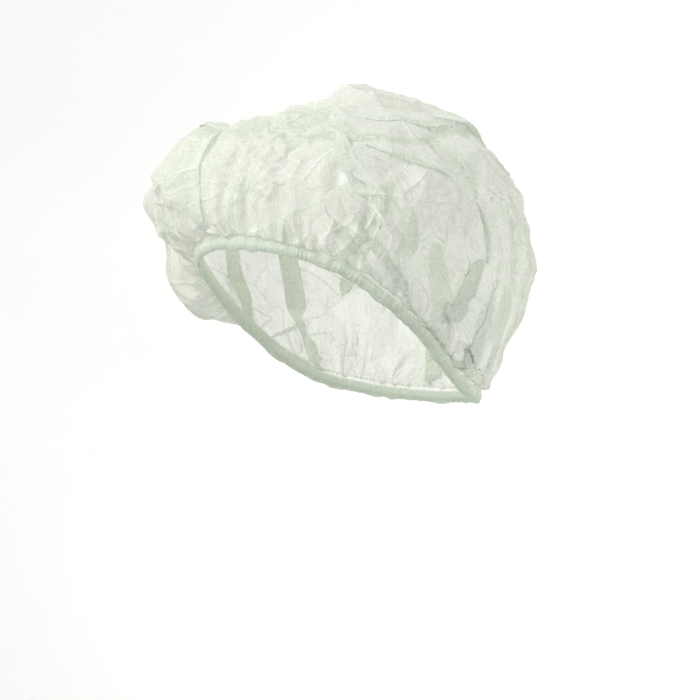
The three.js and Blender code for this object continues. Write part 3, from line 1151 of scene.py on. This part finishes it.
def make_crown_cloth():
    material, start, output = new_material("crown_cloth")
    flat = start.node("UVMap", {}, uv_map="flat")
    fibres = fibre_pattern(start, flat)
    clouds = noise(start, flat, 110.0, detail=4.0, roughness=0.6)
    specks = noise(start, flat, 1100.0, detail=1.0)
    large = crease_network(start, flat, 40.0, 0.0007, 0.42, 0.6)
    small = crease_network(start, flat, 105.0, 0.0005, 0.5, 0.66)
    gathers = gather_lines(start, flat)
    creases = large.larger(small * 0.7).larger(drawn_creases(start))
    lap, lap_edges = laps(start)
    creases = creases.larger(ridges(start) * 0.35).larger(lap_edges)
    dense = (fibres * 0.55 + clouds * 0.6 + specks * 0.25 - 0.3).kept()
    opacity = (0.24 + dense * 0.62 + creases * 0.38 + gathers * 0.2).kept()
    opacity = (opacity + lap * (0.12 + attribute(start, "lap_drawn") * 0.25)).kept()
    colour = lap.mixed(dense.mixed(CLOTH_THIN, CLOTH_DENSE), CLOTH_LAPPED)
    # Creases, facet ridges, pleat edges and gather lines are painted near-white: a painted
    # highlight along their ridges.
    colour = (creases * 0.8 + gathers * 0.4).kept().mixed(colour, CLOTH_PAINTED_HIGHLIGHT)
    roughness = 0.62 + clouds * 0.2 - creases * 0.12
    height = fibres * 0.12 + specks * 0.1 + creases * 0.9 + gathers * 0.5 + clouds * 0.6
    normal = start.bump(height, 0.55, 0.0006)
    finish_material(cloth_shader(start, colour, opacity, roughness, normal), output)
    return material


def make_hem_cloth():
    material, start, output = new_material("hem_cloth")
    flat = start.node("UVMap", {}, uv_map="flat")
    fibres = fibre_pattern(start, flat)
    clouds = noise(start, flat, 90.0, detail=4.0, roughness=0.6)
    place = start.vector("MULTIPLY", flat, (420.0, 55.0, 1.0))
    tucks = noise(start, place, 1.0, detail=2.0)
    dense = (fibres * 0.4 + clouds * 0.5 + tucks * 0.3 - 0.2).kept()
    split = start.node("SeparateXYZ", {"Vector": flat}).output.node
    down = Socket(start.tree, split.outputs[1]).between(0.0018, 0.0045)
    opacity = (0.22 + down * 0.45 + dense * 0.33).kept()
    colour = dense.mixed((0.82, 0.90, 0.78, 1), (0.89, 0.955, 0.86, 1))
    colour = down.mixed(CLOTH_THIN, colour)
    # The tuck crests are painted near-white: a painted highlight where light catches them.
    colour = (tucks.between(0.56, 0.68) * 0.7).mixed(colour, CLOTH_PAINTED_HIGHLIGHT)
    roughness = 0.6 + clouds * 0.2
    normal = start.bump(tucks * 0.9 + fibres * 0.15, 0.7, 0.0006)
    shader = cloth_shader(start, colour, opacity, roughness, normal, glowing=0.45)
    finish_material(shader, output)
    return material


def make_elastic_cord():
    """A covered thread: fine turns round it, and a soft fuzz."""
    material, start, output = new_material("elastic_cord")
    place = start.node("TexCoord", {}, output="Object")
    fuzz = noise(start, place, 900.0, detail=3.0)
    turns = noise(start, place, 420.0, detail=1.0).between(0.4, 0.6)
    colour = turns.mixed((0.78, 0.82, 0.76, 1), (0.9, 0.93, 0.88, 1))
    normal = start.bump(turns * 0.7 + fuzz * 0.3, 0.6, 0.0004)
    inputs = {"Base Color": colour, "Roughness": 0.55 + fuzz * 0.3, "Normal": normal}
    finish_material(start.node("BsdfPrincipled", inputs), output)
    return material


crown.data.materials.append(make_crown_cloth())
hem.data.materials.append(make_hem_cloth())
elastic.data.materials.append(make_elastic_cord())

# %% [markdown]
# ## Floor and light
#
# One broad soft light stands in front, to the left and above, so that the gathers and facets
# cast shade on each other. The pale room fills the shadows. A weaker light from behind lets the
# back glow through, as thin cloth does.

# %% Floor material
def make_floor():
    material, start, output = new_material("floor")
    place = start.node("TexCoord", {}, output="Object")
    clouds = noise(start, place, 3.0, detail=4.0)
    colour = clouds.mixed((0.84, 0.84, 0.83, 1), (0.88, 0.88, 0.87, 1))
    inputs = {"Base Color": colour, "Roughness": 0.7 + clouds * 0.2}
    finish_material(start.node("BsdfPrincipled", inputs), output)
    return material


floor.data.materials.append(make_floor())

# %% Lights
ROOM_LIGHT = 0.38
# Each light: how far it stands towards the camera, to the right of it and up, how soft it is
# in degrees, and its strength.
LIGHTS = (
    ("key", (0.55, -0.8, 0.75), 14, 2.6),
    ("fill", (0.6, 0.9, 0.2), 60, 0.55),
    ("back", (-1.0, 0.3, 0.7), 40, 0.5),
)
world = bpy.data.worlds.new("studio")
scene.world = world
world.use_nodes = True
world.node_tree.nodes["Background"].inputs["Color"].default_value = (1, 1, 1, 1)
world.node_tree.nodes["Background"].inputs["Strength"].default_value = ROOM_LIGHT
for name, (toward, rightward, upward), softness, strength in LIGHTS:
    place = toward_camera * toward + right * rightward + Vector((0, 0, upward))
    bpy.ops.object.light_add(type="SUN", location=place)
    light = bpy.context.object
    light.name = name
    light.data.energy = strength
    light.data.angle = math.radians(softness)
    light.rotation_euler = place.to_track_quat("Z", "Y").to_euler()

# %% What each piece stands for
STANDS_FOR = (
    (crown, "crown", "cloth"),
    (hem, "hem", "hem_cloth"),
    (elastic, "elastic", "elastic_cord"),
)
for piece, node, slot in STANDS_FOR:
    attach(piece, "root")
    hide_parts(node)
